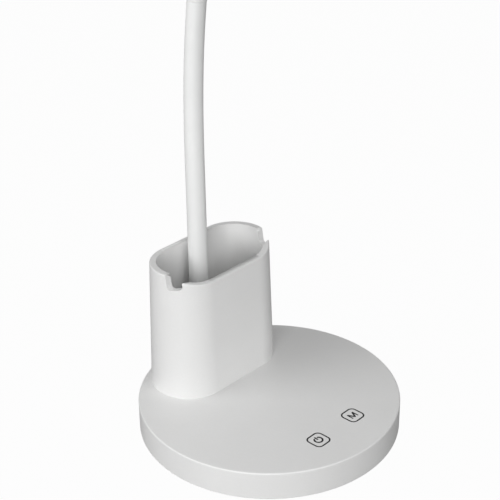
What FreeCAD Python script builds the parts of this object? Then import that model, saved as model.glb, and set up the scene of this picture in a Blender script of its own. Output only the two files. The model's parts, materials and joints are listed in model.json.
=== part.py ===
import FreeCAD, Part
import math
import os
import re

import Sketcher
from FreeCAD import Placement, Rotation, Vector

# A desk lamp: a round weighted base with two touch buttons, an open pen cup with a slot for a phone,
# and a bendable neck that carries a flat LED head.
# Millimetres, +Z up, the user's side is -Y. The origin is the middle of the foot pad, on the desk.

SIZES = (
    # Round base
    ("base_radius", 77.0),
    ("base_top", 18.0),
    ("base_rim_gap", 0.8),
    ("base_wall", 2.5),
    ("base_ceiling", 2.6),
    ("base_edge_round", 1.2),
    ("moulding_gap", 0.3),
    ("pad_thickness", 1.4),
    ("pad_inset", 7.0),
    ("pad_edge_round", 0.4),
    ("floor_thickness", 2.4),
    ("ballast_thickness", 5.6),
    ("ballast_inset", 8.5),
    # Screws that close the base: a well in the floor, a boss under the ceiling
    ("screw_inset", 21.0),
    ("screw_radius", 1.5),
    ("screw_length", 8.0),
    ("screw_head_radius", 2.8),
    ("screw_head_height", 2.2),
    ("screw_play", 0.05),
    ("screw_hole_gap", 0.25),
    ("boss_wall", 2.0),
    ("well_wall", 2.2),
    ("well_depth", 3.0),
    ("well_roof", 2.0),
    # Touch buttons and the board behind them
    ("button_spacing", 30.8),
    ("button_inset", 26.0),
    ("board_length", 58.0),
    ("board_width", 20.0),
    ("board_thickness", 1.6),
    ("peg_height", 2.4),
    ("peg_spacing", 48.0),
    ("peg_radius", 2.5),
    ("board_screw_radius", 1.0),
    ("board_screw_grip", 3.2),
    ("board_screw_head_radius", 1.9),
    ("board_screw_head_height", 1.2),
    ("foam_radius", 5.0),
    ("chip_side", 5.0),
    ("chip_height", 1.0),
    ("coil_height", 2.0),
    # Power inlet in the back of the base
    ("inlet_width", 9.0),
    ("inlet_height", 7.0),
    ("inlet_length", 10.4),
    ("inlet_cradle", 0.6),
    ("inlet_nose_radius", 3.9),
    ("inlet_nose_length", 1.9),
    ("inlet_bore_radius", 2.8),
    ("inlet_bore_depth", 9.0),
    ("inlet_pin_radius", 0.95),
    ("inlet_pin_length", 8.0),
    ("wire_radius", 0.75),
    ("wire_bend_radius", 4.0),
    ("neck_wire_bend_radius", 2.5),
    ("power_wire_setout", 12.0),
    # Pen cup
    ("cup_half_length", 43.0),
    ("cup_half_width", 23.5),
    ("cup_inset", 30.8),
    ("cup_draft", 1.67),
    ("cup_wall", 3.8),
    ("cup_rim", 98.0),
    ("cup_floor_rise", 6.0),
    ("cup_floor_thickness", 3.0),
    ("cup_lip_drop", 6.4),
    ("cup_lip_flat", 17.0),
    ("cup_lip_sweep", 60.0),
    ("cup_edge_round", 0.8),
    ("cup_screw_spacing", 56.0),
    ("cup_screw_length", 7.0),
    ("phone_slot_width", 8.4),
    ("phone_slot_depth", 8.5),
    ("phone_slot_corner", 2.2),
    ("phone_slot_forward", 9.8),
    ("phone_slot_lean", 9.5),
    # Neck
    ("neck_behind_cup", 10.4),
    ("neck_radius", 6.0),
    ("neck_bore", 3.5),
    ("thread_radius", 5.0),
    ("thread_play", 0.1),
    ("thread_hole_gap", 0.2),
    ("thread_end", 0.5),
    ("nut_height", 3.2),
    ("nut_across_flats", 14.0),
    ("washer_radius", 9.0),
    ("washer_thickness", 0.8),
    ("flange_radius", 9.0),
    ("flange_thickness", 2.0),
    ("post_radius", 4.6),
    ("sleeve_play", 0.1),
    ("ferrule_length", 8.0),
    ("neck_above_cup", 8.0),
    ("link_pitch", 12.3),
    ("ball_over_neck", 0.5),
    ("ball_gap", 0.3),
    ("socket_land", 0.3),
    ("neck_lean", 8.5),
    ("neck_lean_start", 4.0),
    ("neck_lean_power", 1.4),
    # Stem that turns the neck's end into the head
    ("stem_radius", 6.3),
    ("stem_straight", 10.0),
    ("stem_bend_radius", 55.0),
    ("stem_bore", 1.6),
    ("spigot_radius", 2.8),
    ("spigot_length", 16.0),
    ("spigot_play", 0.1),
    ("retaining_ring_width", 1.1),
    ("retaining_ring_thickness", 0.8),
    # Head
    ("head_dip", 2.5),
    ("head_length", 110.0),
    ("head_width", 46.0),
    ("head_thickness", 13.0),
    ("head_edge_round", 4.0),
    ("shell_wall", 2.0),
    ("socket_wall", 1.1),
    ("socket_length", 14.0),
    ("frame_height", 2.4),
    ("frame_border", 4.5),
    ("frame_ledge", 1.0),
    ("frame_edge_round", 0.8),
    ("frame_lip_thickness", 1.2),
    ("frame_lip_height", 2.6),
    ("frame_lip_gap", 0.15),
    ("diffuser_thickness", 1.4),
    ("diffuser_play", 0.1),
    ("led_board_end_gap", 20.0),
    ("led_board_width", 24.0),
    ("led_board_thickness", 1.2),
    ("led_post_radius", 2.2),
    ("led_post_height", 2.4),
    ("led_post_inset", 7.0),
    ("led_length", 3.5),
    ("led_width", 2.8),
    ("led_height", 0.7),
    ("led_row_spacing", 12.0),
)

LINK_COUNT = 11
LEDS_PER_ROW = 10
LED_ROWS = 2
BASE_SCREWS = 4
NUT_SIDES = 6

doc = FreeCAD.newDocument("desk_lamp")
sheet = doc.addObject("Spreadsheet::Sheet", "sizes")
for row, (alias, value) in enumerate(SIZES, start=1):
    sheet.set(f"A{row}", alias)
    sheet.set(f"B{row}", str(value))
    sheet.setAlias(f"B{row}", alias)
doc.recompute()

# Heights and radii that several pieces share, each an expression of the sizes above
SHARED = {
    "screw_circle": "base_radius - screw_inset",
    "button_setout": "base_radius - button_inset",
    "cup_setback": "base_radius - cup_inset",
    "neck_setback": "base_radius - cup_inset + neck_behind_cup",
    "floor_top": "pad_thickness + floor_thickness",
    "ceiling": "base_top - base_ceiling",
    "well_top": "pad_thickness + well_depth + well_roof",
    "board_top": "base_top - base_ceiling - peg_height",
    "wire_level": "pad_thickness + floor_thickness + ballast_thickness + wire_radius",
    "inlet_level": "pad_thickness + floor_thickness + inlet_cradle + inlet_height / 2",
    "inlet_face": "base_radius - base_wall",
    "cup_floor_top": "base_top + cup_floor_rise + cup_floor_thickness",
    "cup_narrowing": "(cup_floor_rise + cup_floor_thickness) * tan(cup_draft)",
    "cup_lip": "cup_rim - cup_lip_drop",
    "phone_slot_floor": "cup_rim - phone_slot_depth",
    "nut_top": "base_top - base_ceiling - washer_thickness",
    "thread_bottom": "base_top - base_ceiling - washer_thickness - nut_height - thread_end",
    "first_pivot": "cup_rim + neck_above_cup",
    "ball_radius": "neck_radius + ball_over_neck",
    "socket_radius": "neck_radius + ball_over_neck + ball_gap",
    "socket_mouth": "neck_radius - socket_land",
    "socket_rim": "sqrt((neck_radius + ball_over_neck + ball_gap)^2 - (neck_radius - socket_land)^2)",
    "stem_turn": "90 + head_dip - neck_lean",
    "head_flat": "head_width / 2 - sqrt((head_width / 2)^2 - stem_radius^2)",
    "head_middle": "head_flat - head_length / 2",
    "head_under": "-head_thickness / 2",
    "frame_top": "frame_height - head_thickness / 2",
    "shell_ceiling": "head_thickness / 2 - shell_wall",
    "led_board_top": "head_thickness / 2 - shell_wall - led_post_height",
    "led_board_length": "head_length - 2 * led_board_end_gap",
    "led_post_spacing": "head_length - 2 * led_board_end_gap - 2 * led_post_inset",
    "led_pitch": f"(head_length - 2 * led_board_end_gap) / {LEDS_PER_ROW}",
}


def bound(text):
    """Write an expression with its shared values spelled out and each alias read from the sheet."""
    for _ in range(2):
        text = re.sub(r"[a-z]\w*", lambda word: f"({SHARED[word[0]]})" if word[0] in SHARED else word[0], text)
    aliases = {alias for alias, _ in SIZES}
    return re.sub(r"[a-z]\w*", lambda word: f"sizes.{word[0]}" if word[0] in aliases else word[0], text)


def number(text):
    """The value of an expression, in millimetres or degrees."""
    return float(sheet.evalExpression(bound(text)))


def new_body(label, place=None):
    """A sub-part's body, standing at its place."""
    body = doc.addObject("PartDesign::Body", label)
    body.Label = label
    if place:
        body.Placement = place
    return body


def new_sketch(body, plane="XY_Plane", level="0"):
    """An empty sketch on one of the body's own planes, moved along the plane's normal to a level."""
    support = next(feature for feature in body.Origin.OriginFeatures if feature.Role == plane)
    sketch = body.newObject("Sketcher::SketchObject", f"{body.Name}_sketch")
    sketch.AttachmentSupport = [(support, "")]
    sketch.MapMode = "FlatFace"
    sketch.setExpression("AttachmentOffset.Base.z", bound(level))
    return sketch


def hold(sketch, kind, *where, value):
    """Add a dimension that is bound to an expression."""
    index = sketch.addConstraint(Sketcher.Constraint(kind, *where, number(value)))
    sketch.setExpression(f"Constraints[{index}]", bound(value))


def hold_point(sketch, edge, point, x, y):
    """Hold a point at x and y; a value that starts with ~ is left for the arc beside it to decide."""
    for kind, value in (("DistanceX", x), ("DistanceY", y)):
        if not value.startswith("~"):
            hold(sketch, kind, -1, 1, edge, point, value=value)


def circle(sketch, radius, x="0", y="0"):
    """Draw a circle."""
    middle = Vector(number(x), number(y), 0)
    edge = sketch.addGeometry(Part.Circle(middle, Vector(0, 0, 1), number(radius)), False)
    hold(sketch, "Radius", edge, value=radius)
    hold_point(sketch, edge, 3, x, y)


def outline(sketch, corners, arcs=None, closed=True):
    """Draw an outline through corners, straight from each to the next.

    arcs gives the edges that are round, by the number of the corner they start at:
    (centre x, centre y, radius, "left" or "right" for the way it turns).
    """
    arcs = arcs or {}
    places = [Vector(number(x.lstrip("~")), number(y.lstrip("~")), 0) for x, y in corners]
    count = len(corners) if closed else len(corners) - 1
    ends = []
    for i in range(count):
        start, end = places[i], places[(i + 1) % len(places)]
        if i not in arcs:
            edge = sketch.addGeometry(Part.LineSegment(start, end), False)
            ends.append((edge, 1, 2))
            continue
        x, y, radius, turn = arcs[i]
        middle = Vector(number(x), number(y), 0)
        first, last = (start, end) if turn == "left" else (end, start)
        angle0 = math.atan2(first.y - middle.y, first.x - middle.x)
        angle1 = math.atan2(last.y - middle.y, last.x - middle.x)
        if angle1 < angle0:
            angle1 += 2 * math.pi
        ring = Part.Circle(middle, Vector(0, 0, 1), number(radius))
        edge = sketch.addGeometry(Part.ArcOfCircle(ring, angle0, angle1), False)
        ends.append((edge, 1, 2) if turn == "left" else (edge, 2, 1))
        hold(sketch, "Radius", edge, value=radius)
        hold_point(sketch, edge, 3, x, y)
    for i, (edge, first, last) in enumerate(ends):
        if closed or i + 1 < count:
            following, start, _ = ends[(i + 1) % count]
            sketch.addConstraint(Sketcher.Constraint("Coincident", edge, last, following, start))
        hold_point(sketch, edge, first, *corners[i])
    if not closed:
        edge, _, last = ends[-1]
        hold_point(sketch, edge, last, *corners[-1])


def rectangle(sketch, x0, x1, y0, y1):
    """Draw an upright rectangle."""
    outline(sketch, [(x0, y0), (x1, y0), (x1, y1), (x0, y1)])


def stadium(sketch, half_length, half_width, x="0", y="0", along="x"):
    """Draw two straight sides joined by half circles; along is the axis that its length runs on."""
    reach = f"(({half_length}) - ({half_width}))"
    wide = f"({half_width})"
    if along == "x":
        corners = [(f"{x} + {reach}", f"~{y} - {wide}"), (f"{x} + {reach}", f"~{y} + {wide}"),
                   (f"{x} - {reach}", f"~{y} + {wide}"), (f"{x} - {reach}", f"~{y} - {wide}")]
        arcs = {0: (f"{x} + {reach}", y, wide, "left"), 2: (f"{x} - {reach}", y, wide, "left")}
    else:
        corners = [(f"~{x} + {wide}", f"{y} + {reach}"), (f"~{x} - {wide}", f"{y} + {reach}"),
                   (f"~{x} - {wide}", f"{y} - {reach}"), (f"~{x} + {wide}", f"{y} - {reach}")]
        arcs = {0: (x, f"{y} + {reach}", wide, "left"), 2: (x, f"{y} - {reach}", wide, "left")}
    outline(sketch, corners, arcs)


def feature(body, kind, sketch, **settings):
    """Add a feature that is made from a sketch, with its lengths bound to expressions."""
    made = body.newObject(f"PartDesign::{kind}", f"{body.Name}_{kind.lower()}")
    made.Profile = sketch
    for name, value in settings.items():
        if isinstance(value, str) and name in ("Length", "TaperAngle"):
            made.setExpression(name, bound(value))
        else:
            setattr(made, name, value)
    doc.recompute()
    return made


def pad(body, sketch, length, **settings):
    """Raise a sketch along its normal."""
    return feature(body, "Pad", sketch, Length=length, **settings)


def pocket(body, sketch, length=None, **settings):
    """Cut a sketch into the body, against its normal unless Reversed, and see that it cut something."""
    before = body.Shape.Volume
    if length is None:
        settings["Type"] = "ThroughAll"
    else:
        settings["Length"] = length
    made = feature(body, "Pocket", sketch, **settings)
    if body.Shape.Volume > before - 1e-6:
        raise ValueError(f"a pocket in {body.Label} cuts nothing")
    return made


def revolution(body, sketch):
    """Turn a sketch about its own vertical axis."""
    return feature(body, "Revolution", sketch, ReferenceAxis=(sketch, ["V_Axis"]), Angle=360)


def pipe(body, kind, profile, path):
    """Sweep a profile along a path sketch."""
    edges = [f"Edge{i + 1}" for i in range(path.GeometryCount)]
    return feature(body, kind, profile, Spine=(path, edges))


def round_edges(body, radius, chosen):
    """Round the edges of the body that the test chooses."""
    last = body.Tip
    names = [f"Edge{i + 1}" for i, edge in enumerate(last.Shape.Edges) if chosen(edge)]
    if not names:
        raise ValueError(f"no edge to round on {body.Label}")
    made = body.newObject("PartDesign::Fillet", f"{body.Name}_round")
    made.Base = (last, names)
    made.setExpression("Radius", bound(radius))
    doc.recompute()


def flat_at(level):
    """A test for edges that lie at one height, given as an expression."""
    height = number(level)
    return lambda edge: max(abs(edge.BoundBox.ZMin - height), abs(edge.BoundBox.ZMax - height)) < 1e-4


def top_edges(body):
    """A test for the edges in which the cup's outer wall ends above, along its rim and its lip."""
    shape = body.Tip.Shape
    foot = number("base_top")
    middle = (number("cup_rim") + foot) / 2

    def is_outer_wall(face):
        return face.BoundBox.ZMin < foot + 1e-3 and face.BoundBox.ZMax > middle

    def ends_outer_wall(edge):
        walls = [face for face in shape.ancestorsOfType(edge, Part.Face) if is_outer_wall(face)]
        return edge.BoundBox.ZMin > middle and len(walls) == 1

    return ends_outer_wall


def leaning(across, up, loose_y="", loose_z=""):
    """A point of the phone slot, from the middle of its floor, across it towards the back and up along its lean."""
    return (f"{loose_y}cup_setback - phone_slot_forward"
            f" + ({across}) * cos(phone_slot_lean) + ({up}) * sin(phone_slot_lean)",
            f"{loose_z}phone_slot_floor - ({across}) * sin(phone_slot_lean) + ({up}) * cos(phone_slot_lean)")


# Places that repeat

def base_screw_places():
    """Where the base's screws stand, as x and y expressions."""
    places = []
    for i in range(BASE_SCREWS):
        angle = 45 + 360 / BASE_SCREWS * i
        places.append((f"screw_circle * cos({angle})", f"screw_circle * sin({angle})"))
    return places


CUP_SCREWS = [(f"{side} * cup_screw_spacing / 2", "cup_setback") for side in (-1, 1)]
BOARD_SCREWS = [(f"{side} * peg_spacing / 2", "-button_setout") for side in (-1, 1)]
BUTTONS = [(f"{side} * button_spacing / 2", "-button_setout") for side in (-1, 1)]
LED_POSTS = [("0", f"head_middle + {side} * led_post_spacing / 2") for side in (-1, 1)]


def circles(sketch, radius, places):
    """Draw a circle at each place."""
    for x, y in places:
        circle(sketch, radius, x, y)


def screws(label, places, under_head, radius, length, head_radius, head_height, place=None):
    """A group of upward screws with rounded heads, their heads' seats at one height."""
    body = new_body(label, place)
    heads = new_sketch(body, level=f"{under_head} - {head_height}")
    circles(heads, head_radius, places)
    pad(body, heads, head_height)
    round_edges(body, f"{head_height} / 3", flat_at(f"{under_head} - {head_height}"))
    shanks = new_sketch(body, level=f"{under_head} - {head_height} / 2")
    circles(shanks, radius, places)
    pad(body, shanks, f"{length} + {head_height} / 2")
    return body


# Base

def base_cover():
    """The round upper housing: a shell open below, with bosses and pegs under its ceiling."""
    body = new_body("base_cover")
    outer = new_sketch(body, level="base_rim_gap")
    circle(outer, "base_radius")
    pad(body, outer, "base_top - base_rim_gap")
    inner = new_sketch(body, level="base_rim_gap")
    circle(inner, "base_radius - base_wall")
    pocket(body, inner, "ceiling - base_rim_gap", Reversed=True)
    bosses = new_sketch(body, level="well_top")
    circles(bosses, "screw_radius + screw_play + boss_wall", base_screw_places())
    pad(body, bosses, "ceiling - well_top + base_ceiling / 2")
    pegs = new_sketch(body, level="board_top")
    circles(pegs, "peg_radius", BOARD_SCREWS)
    pad(body, pegs, "peg_height + base_ceiling / 2")
    pilots = new_sketch(body, level="well_top")
    circles(pilots, "screw_radius + screw_play", base_screw_places())
    pocket(body, pilots, "screw_length", Reversed=True)
    board_pilots = new_sketch(body, level="board_top")
    circles(board_pilots, "board_screw_radius + screw_play", BOARD_SCREWS)
    pocket(body, board_pilots, "board_screw_grip + screw_play", Reversed=True)
    neck_hole = new_sketch(body, level="ceiling")
    circle(neck_hole, "thread_radius + thread_hole_gap", "0", "neck_setback")
    pocket(body, neck_hole, "base_ceiling", Reversed=True)
    cup_holes = new_sketch(body, level="ceiling")
    circles(cup_holes, "screw_radius + screw_hole_gap", CUP_SCREWS)
    pocket(body, cup_holes, "base_ceiling", Reversed=True)
    inlet_hole = new_sketch(body, "XZ_Plane", "-base_radius")
    circle(inlet_hole, "inlet_nose_radius + moulding_gap", "0", "inlet_level")
    pocket(body, inlet_hole, "2 * base_wall", Reversed=True)
    round_edges(body, "base_edge_round",
                lambda edge: flat_at("base_top")(edge) and edge.Length > math.pi * number("base_radius"))


def base_floor():
    """The plate that closes the base from below, with a well round each screw."""
    body = new_body("base_floor")
    plate = new_sketch(body, level="pad_thickness")
    circle(plate, "base_radius - base_wall - moulding_gap")
    pad(body, plate, "floor_thickness")
    wells = new_sketch(body, level="pad_thickness")
    circles(wells, "screw_head_radius + screw_hole_gap + well_wall", base_screw_places())
    pad(body, wells, "well_top - pad_thickness")
    cradle = new_sketch(body, level="floor_top - floor_thickness / 2")
    rectangle(cradle, "-inlet_width / 2", "inlet_width / 2", "inlet_face - inlet_length", "inlet_face - base_wall")
    pad(body, cradle, "inlet_cradle + floor_thickness / 2")
    heads = new_sketch(body, level="pad_thickness")
    circles(heads, "screw_head_radius + screw_hole_gap", base_screw_places())
    pocket(body, heads, "well_depth", Reversed=True)
    holes = new_sketch(body, level="pad_thickness")
    circles(holes, "screw_radius + screw_hole_gap", base_screw_places())
    pocket(body, holes, "well_top - pad_thickness", Reversed=True)


def foot_pad():
    """The soft disc that the lamp stands on."""
    body = new_body("foot_pad")
    disc = new_sketch(body)
    circle(disc, "base_radius - pad_inset")
    pad(body, disc, "pad_thickness")
    round_edges(body, "pad_edge_round", flat_at("0"))


def ballast_plate():
    """The steel disc that keeps the lamp upright, cut away round the wells and the power inlet."""
    body = new_body("ballast_plate")
    disc = new_sketch(body, level="floor_top")
    circle(disc, "base_radius - base_wall - ballast_inset")
    pad(body, disc, "ballast_thickness")
    holes = new_sketch(body, level="floor_top")
    circles(holes, "screw_head_radius + screw_hole_gap + well_wall + moulding_gap", base_screw_places())
    pocket(body, holes, "ballast_thickness", Reversed=True)
    notch = new_sketch(body, level="floor_top")
    rectangle(notch, "-inlet_width / 2 - base_wall", "inlet_width / 2 + base_wall",
              "inlet_face - inlet_length - base_wall", "base_radius")
    pocket(body, notch, "ballast_thickness", Reversed=True)


def control_board():
    """The circuit board that senses the touch buttons, screwed to the pegs under the ceiling."""
    body = new_body("control_board")
    plate = new_sketch(body, level="board_top - board_thickness")
    rectangle(plate, "-board_length / 2", "board_length / 2",
              "-button_setout - board_width / 2", "-button_setout + board_width / 2")
    circles(plate, "board_screw_radius + screw_hole_gap", BOARD_SCREWS)
    pad(body, plate, "board_thickness")


def board_components():
    """The touch chip, the LED driver and its coil, in the middle of the board."""
    body = new_body("board_components")
    chips = new_sketch(body, level="board_top")
    for side in (-1, 1):
        middle = f"-button_setout + {side} * chip_side"
        rectangle(chips, "-chip_side / 2", "chip_side / 2", f"{middle} - 0.4 * chip_side",
                  f"{middle} + 0.4 * chip_side")
    pad(body, chips, "chip_height")
    coil = new_sketch(body, level="board_top")
    circle(coil, "chip_side / 3", "chip_side * 1.1", "-button_setout + 1.2 * chip_side")
    pad(body, coil, "coil_height")


def touch_foams():
    """The conductive foam discs that carry each button's touch from the ceiling to the board."""
    body = new_body("touch_foams")
    discs = new_sketch(body, level="board_top")
    circles(discs, "foam_radius", BUTTONS)
    pad(body, discs, "peg_height")


def power_inlet():
    """The socket for the power plug, its mouth in the back of the base."""
    body = new_body("power_inlet")
    block = new_sketch(body, "XZ_Plane", "inlet_length - inlet_face")
    rectangle(block, "-inlet_width / 2", "inlet_width / 2",
              "inlet_level - inlet_height / 2", "inlet_level + inlet_height / 2")
    pad(body, block, "inlet_length - moulding_gap", Reversed=True)
    nose = new_sketch(body, "XZ_Plane", "base_wall - moulding_gap - inlet_face")
    circle(nose, "inlet_nose_radius", "0", "inlet_level")
    pad(body, nose, "base_wall - moulding_gap + inlet_nose_length", Reversed=True)
    bore = new_sketch(body, "XZ_Plane", "-inlet_face - inlet_nose_length")
    circle(bore, "inlet_bore_radius", "0", "inlet_level")
    pocket(body, bore, "inlet_bore_depth", Reversed=True)


def power_inlet_pin():
    """The contact pin in the middle of the power socket."""
    body = new_body("power_inlet_pin")
    pin = new_sketch(body, "XZ_Plane", "inlet_bore_depth - inlet_face - inlet_nose_length")
    circle(pin, "inlet_pin_radius", "0", "inlet_level")
    pad(body, pin, "inlet_pin_length", Reversed=True)


def power_lead():
    """The lead from the power inlet to the board, lying on the ballast plate."""
    body = new_body("power_lead")
    start = "inlet_face - inlet_length / 2"
    path = new_sketch(body, level="wire_level")
    outline(path,
            [("inlet_width / 2", start), ("power_wire_setout - wire_bend_radius", f"~{start}"),
             ("~power_wire_setout", f"{start} - wire_bend_radius"),
             ("power_wire_setout", "-button_setout + board_width / 4")],
            {1: ("power_wire_setout - wire_bend_radius", f"{start} - wire_bend_radius",
                 "wire_bend_radius", "right")}, closed=False)
    profile = new_sketch(body, "YZ_Plane", "inlet_width / 2")
    circle(profile, "wire_radius", start, "wire_level")
    pipe(body, "AdditivePipe", profile, path)


def neck_lead():
    """The lead from the board to the neck, turning up into the neck's bore."""
    body = new_body("neck_lead")
    start = "-button_setout + board_width / 4"
    path = new_sketch(body, "YZ_Plane")
    outline(path,
            [(start, "wire_level"), ("neck_setback - neck_wire_bend_radius", "~wire_level"),
             ("~neck_setback", "wire_level + neck_wire_bend_radius"), ("neck_setback", "base_top")],
            {1: ("neck_setback - neck_wire_bend_radius", "wire_level + neck_wire_bend_radius",
                 "neck_wire_bend_radius", "left")}, closed=False)
    profile = new_sketch(body, "XZ_Plane", f"-({start})")
    circle(profile, "wire_radius", "0", "wire_level")
    pipe(body, "AdditivePipe", profile, path)


# Pen cup

def cup():
    """The pen cup: drafted walls, a raised floor, a front lip that dips in the middle and a slot across both sides."""
    body = new_body("cup")
    outer = new_sketch(body, level="base_top")
    stadium(outer, "cup_half_length", "cup_half_width", y="cup_setback")
    pad(body, outer, "cup_rim - base_top", TaperAngle="-cup_draft")
    inner = new_sketch(body, level="cup_floor_top")
    stadium(inner, "cup_half_length - cup_narrowing - cup_wall", "cup_half_width - cup_narrowing - cup_wall",
            y="cup_setback")
    pocket(body, inner, "cup_rim - cup_floor_top", Reversed=True, TaperAngle="-cup_draft")
    under = new_sketch(body, level="base_top")
    stadium(under, "cup_half_length - cup_wall", "cup_half_width - cup_wall", y="cup_setback")
    circles(under, "screw_radius + screw_play + boss_wall", CUP_SCREWS)
    pocket(body, under, "cup_floor_rise", Reversed=True)
    pilots = new_sketch(body, level="base_top")
    circles(pilots, "screw_radius + screw_play", CUP_SCREWS)
    pocket(body, pilots, "cup_screw_length - base_ceiling + screw_hole_gap", Reversed=True)
    neck_hole = new_sketch(body, level="base_top")
    circle(neck_hole, "neck_radius + moulding_gap", "0", "neck_setback")
    pocket(body, neck_hole, "cup_floor_top - base_top", Reversed=True)
    lip = new_sketch(body, "XZ_Plane", "-(cup_setback - phone_slot_forward)")
    reach, swept = "(cup_lip_flat + cup_lip_sweep)", "cup_lip + cup_lip_sweep"
    outline(lip,
            [(f"-{reach}", f"{swept} + cup_wall"), (f"~-{reach}", swept), ("-cup_lip_flat", "~cup_lip"),
             ("cup_lip_flat", "~cup_lip"), (f"~{reach}", swept), (reach, f"{swept} + cup_wall")],
            {1: ("-cup_lip_flat", swept, "cup_lip_sweep", "left"),
             3: ("cup_lip_flat", swept, "cup_lip_sweep", "left")})
    pocket(body, lip, "cup_half_width", Reversed=True)
    round_edges(body, "cup_edge_round", top_edges(body))
    slot = new_sketch(body, "YZ_Plane")
    half, corner = "phone_slot_width / 2", "phone_slot_corner"
    outline(slot,
            [leaning(f"-{half}", "phone_slot_depth + cup_wall"), leaning(f"-{half}", corner, "~", ""),
             leaning(f"{corner} - {half}", "0", "", "~"), leaning(f"{half} - {corner}", "0", "", "~"),
             leaning(half, corner, "~", ""), leaning(half, "phone_slot_depth + cup_wall")],
            {1: (*leaning(f"{corner} - {half}", corner), corner, "left"),
             3: (*leaning(f"{half} - {corner}", corner), corner, "left")})
    pocket(body, slot, "3 * cup_half_length", SideType="Symmetric")


# Neck

def neck_places():
    """Each link's place, from the first pivot up: upright at first, then leaning forward more and more."""
    places = []
    spot = Vector(0, number("neck_setback"), number("first_pivot"))
    start = number("neck_lean_start")
    for link in range(1, LINK_COUNT + 2):
        share = max(0, link - start) / (LINK_COUNT + 1 - start)
        lean = number("neck_lean") * share ** number("neck_lean_power")
        place = Placement(spot, Rotation(Vector(1, 0, 0), lean))
        places.append(place)
        spot = place.multVec(Vector(0, 0, number("link_pitch")))
    return places


def neck_post():
    """The rigid foot of the neck: a threaded end, a flange, a tube through the cup and the first ball."""
    body = new_body("neck_post", Placement(Vector(0, number("neck_setback"), 0), Rotation()))
    profile = new_sketch(body, "XZ_Plane")
    outline(profile,
            [("neck_bore", "thread_bottom"), ("thread_radius", "thread_bottom"), ("thread_radius", "base_top"),
             ("flange_radius", "base_top"), ("flange_radius", "base_top + flange_thickness"),
             ("post_radius", "base_top + flange_thickness"), ("post_radius", "first_pivot - ferrule_length"),
             ("neck_radius", "first_pivot - ferrule_length"),
             ("neck_radius", "~first_pivot + sqrt(ball_radius^2 - neck_radius^2)"),
             ("neck_bore", "~first_pivot + sqrt(ball_radius^2 - neck_bore^2)")],
            {8: ("0", "first_pivot", "ball_radius", "left")})
    revolution(body, profile)


def post_sleeve():
    """The soft sleeve round the rigid foot of the neck."""
    body = new_body("post_sleeve", Placement(Vector(0, number("neck_setback"), 0), Rotation()))
    ring = new_sketch(body, level="base_top + flange_thickness")
    circle(ring, "neck_radius")
    circle(ring, "post_radius + sleeve_play")
    pad(body, ring, "first_pivot - ferrule_length - base_top - flange_thickness")


def neck_washer():
    """The washer between the nut and the base's ceiling."""
    body = new_body("neck_washer", Placement(Vector(0, number("neck_setback"), 0), Rotation()))
    ring = new_sketch(body, level="nut_top")
    circle(ring, "washer_radius")
    circle(ring, "thread_radius + thread_hole_gap")
    pad(body, ring, "washer_thickness")


def neck_nut():
    """The hexagonal nut that clamps the neck to the base."""
    body = new_body("neck_nut", Placement(Vector(0, number("neck_setback"), 0), Rotation()))
    prism = new_sketch(body, level="nut_top - nut_height")
    corner_radius = f"(nut_across_flats / 2 / cos({180 / NUT_SIDES}))"
    corners = []
    for i in range(NUT_SIDES):
        angle = 360 / NUT_SIDES * i
        corners.append((f"{corner_radius} * cos({angle})", f"{corner_radius} * sin({angle})"))
    outline(prism, corners)
    circle(prism, "thread_radius + thread_play")
    pad(body, prism, "nut_height")


def neck_link(number_in_chain, place):
    """One link of the neck: a socket round its own pivot and a ball round the next one."""
    body = new_body(f"neck_link_{number_in_chain:02d}", place)
    profile = new_sketch(body, "XZ_Plane")
    outline(profile,
            [("neck_bore", "~sqrt(socket_radius^2 - neck_bore^2)"), ("socket_mouth", "~socket_rim"),
             ("neck_radius", "socket_rim"), ("neck_radius", "~link_pitch + sqrt(ball_radius^2 - neck_radius^2)"),
             ("neck_bore", "~link_pitch + sqrt(ball_radius^2 - neck_bore^2)")],
            {0: ("0", "0", "socket_radius", "right"), 3: ("0", "link_pitch", "ball_radius", "left")})
    revolution(body, profile)


# Stem and head

def stem_path(body, beyond):
    """The stem's middle line: straight up, round the bend, then straight on for the spigot if beyond."""
    path = new_sketch(body, "YZ_Plane")
    end = ("stem_bend_radius * (cos(stem_turn) - 1)", "stem_straight + stem_bend_radius * sin(stem_turn)")
    corners = [("0", "socket_rim"), ("~0", "stem_straight"), (end[0], f"~{end[1]}")]
    if beyond:
        corners.append((f"{end[0]} - spigot_length * sin(stem_turn)", f"{end[1]} + spigot_length * cos(stem_turn)"))
    outline(path, corners, {1: ("-stem_bend_radius", "stem_straight", "stem_bend_radius", "left")}, closed=False)
    return path


def head_stem(place):
    """The rigid elbow from the neck's last ball to the head, with a spigot that the head is held by."""
    body = new_body("head_stem", place)
    for kind, radius, beyond in (("AdditivePipe", "stem_radius", False), ("AdditivePipe", "spigot_radius", True),
                                 ("SubtractivePipe", "stem_bore", True)):
        profile = new_sketch(body, level="socket_rim")
        circle(profile, radius)
        pipe(body, kind, profile, stem_path(body, beyond))
    socket = body.newObject("PartDesign::SubtractiveSphere", "socket")
    socket.setExpression("Radius", bound("socket_radius"))
    doc.recompute()


def head_place(stem_place):
    """The head's place: the end of the stem's bend, dipping a little towards the user."""
    turn = math.radians(number("stem_turn"))
    reach = number("stem_bend_radius")
    end = Vector(0, reach * (math.cos(turn) - 1), number("stem_straight") + reach * math.sin(turn))
    return Placement(stem_place.multVec(end), Rotation(Vector(1, 0, 0), number("head_dip")))


def head_outline(sketch, inset):
    """The head's outline seen from above, moved inwards by an inset."""
    stadium(sketch, f"head_length / 2 - ({inset})", f"head_width / 2 - ({inset})", y="head_middle", along="y")


def cut_head_flat(body):
    """Cut the flat that the stem's end meets."""
    flat = new_sketch(body, level="-head_thickness")
    rectangle(flat, "-head_width", "head_width", "0", "head_width")
    pocket(body, flat, "2 * head_thickness", Reversed=True)


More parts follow.
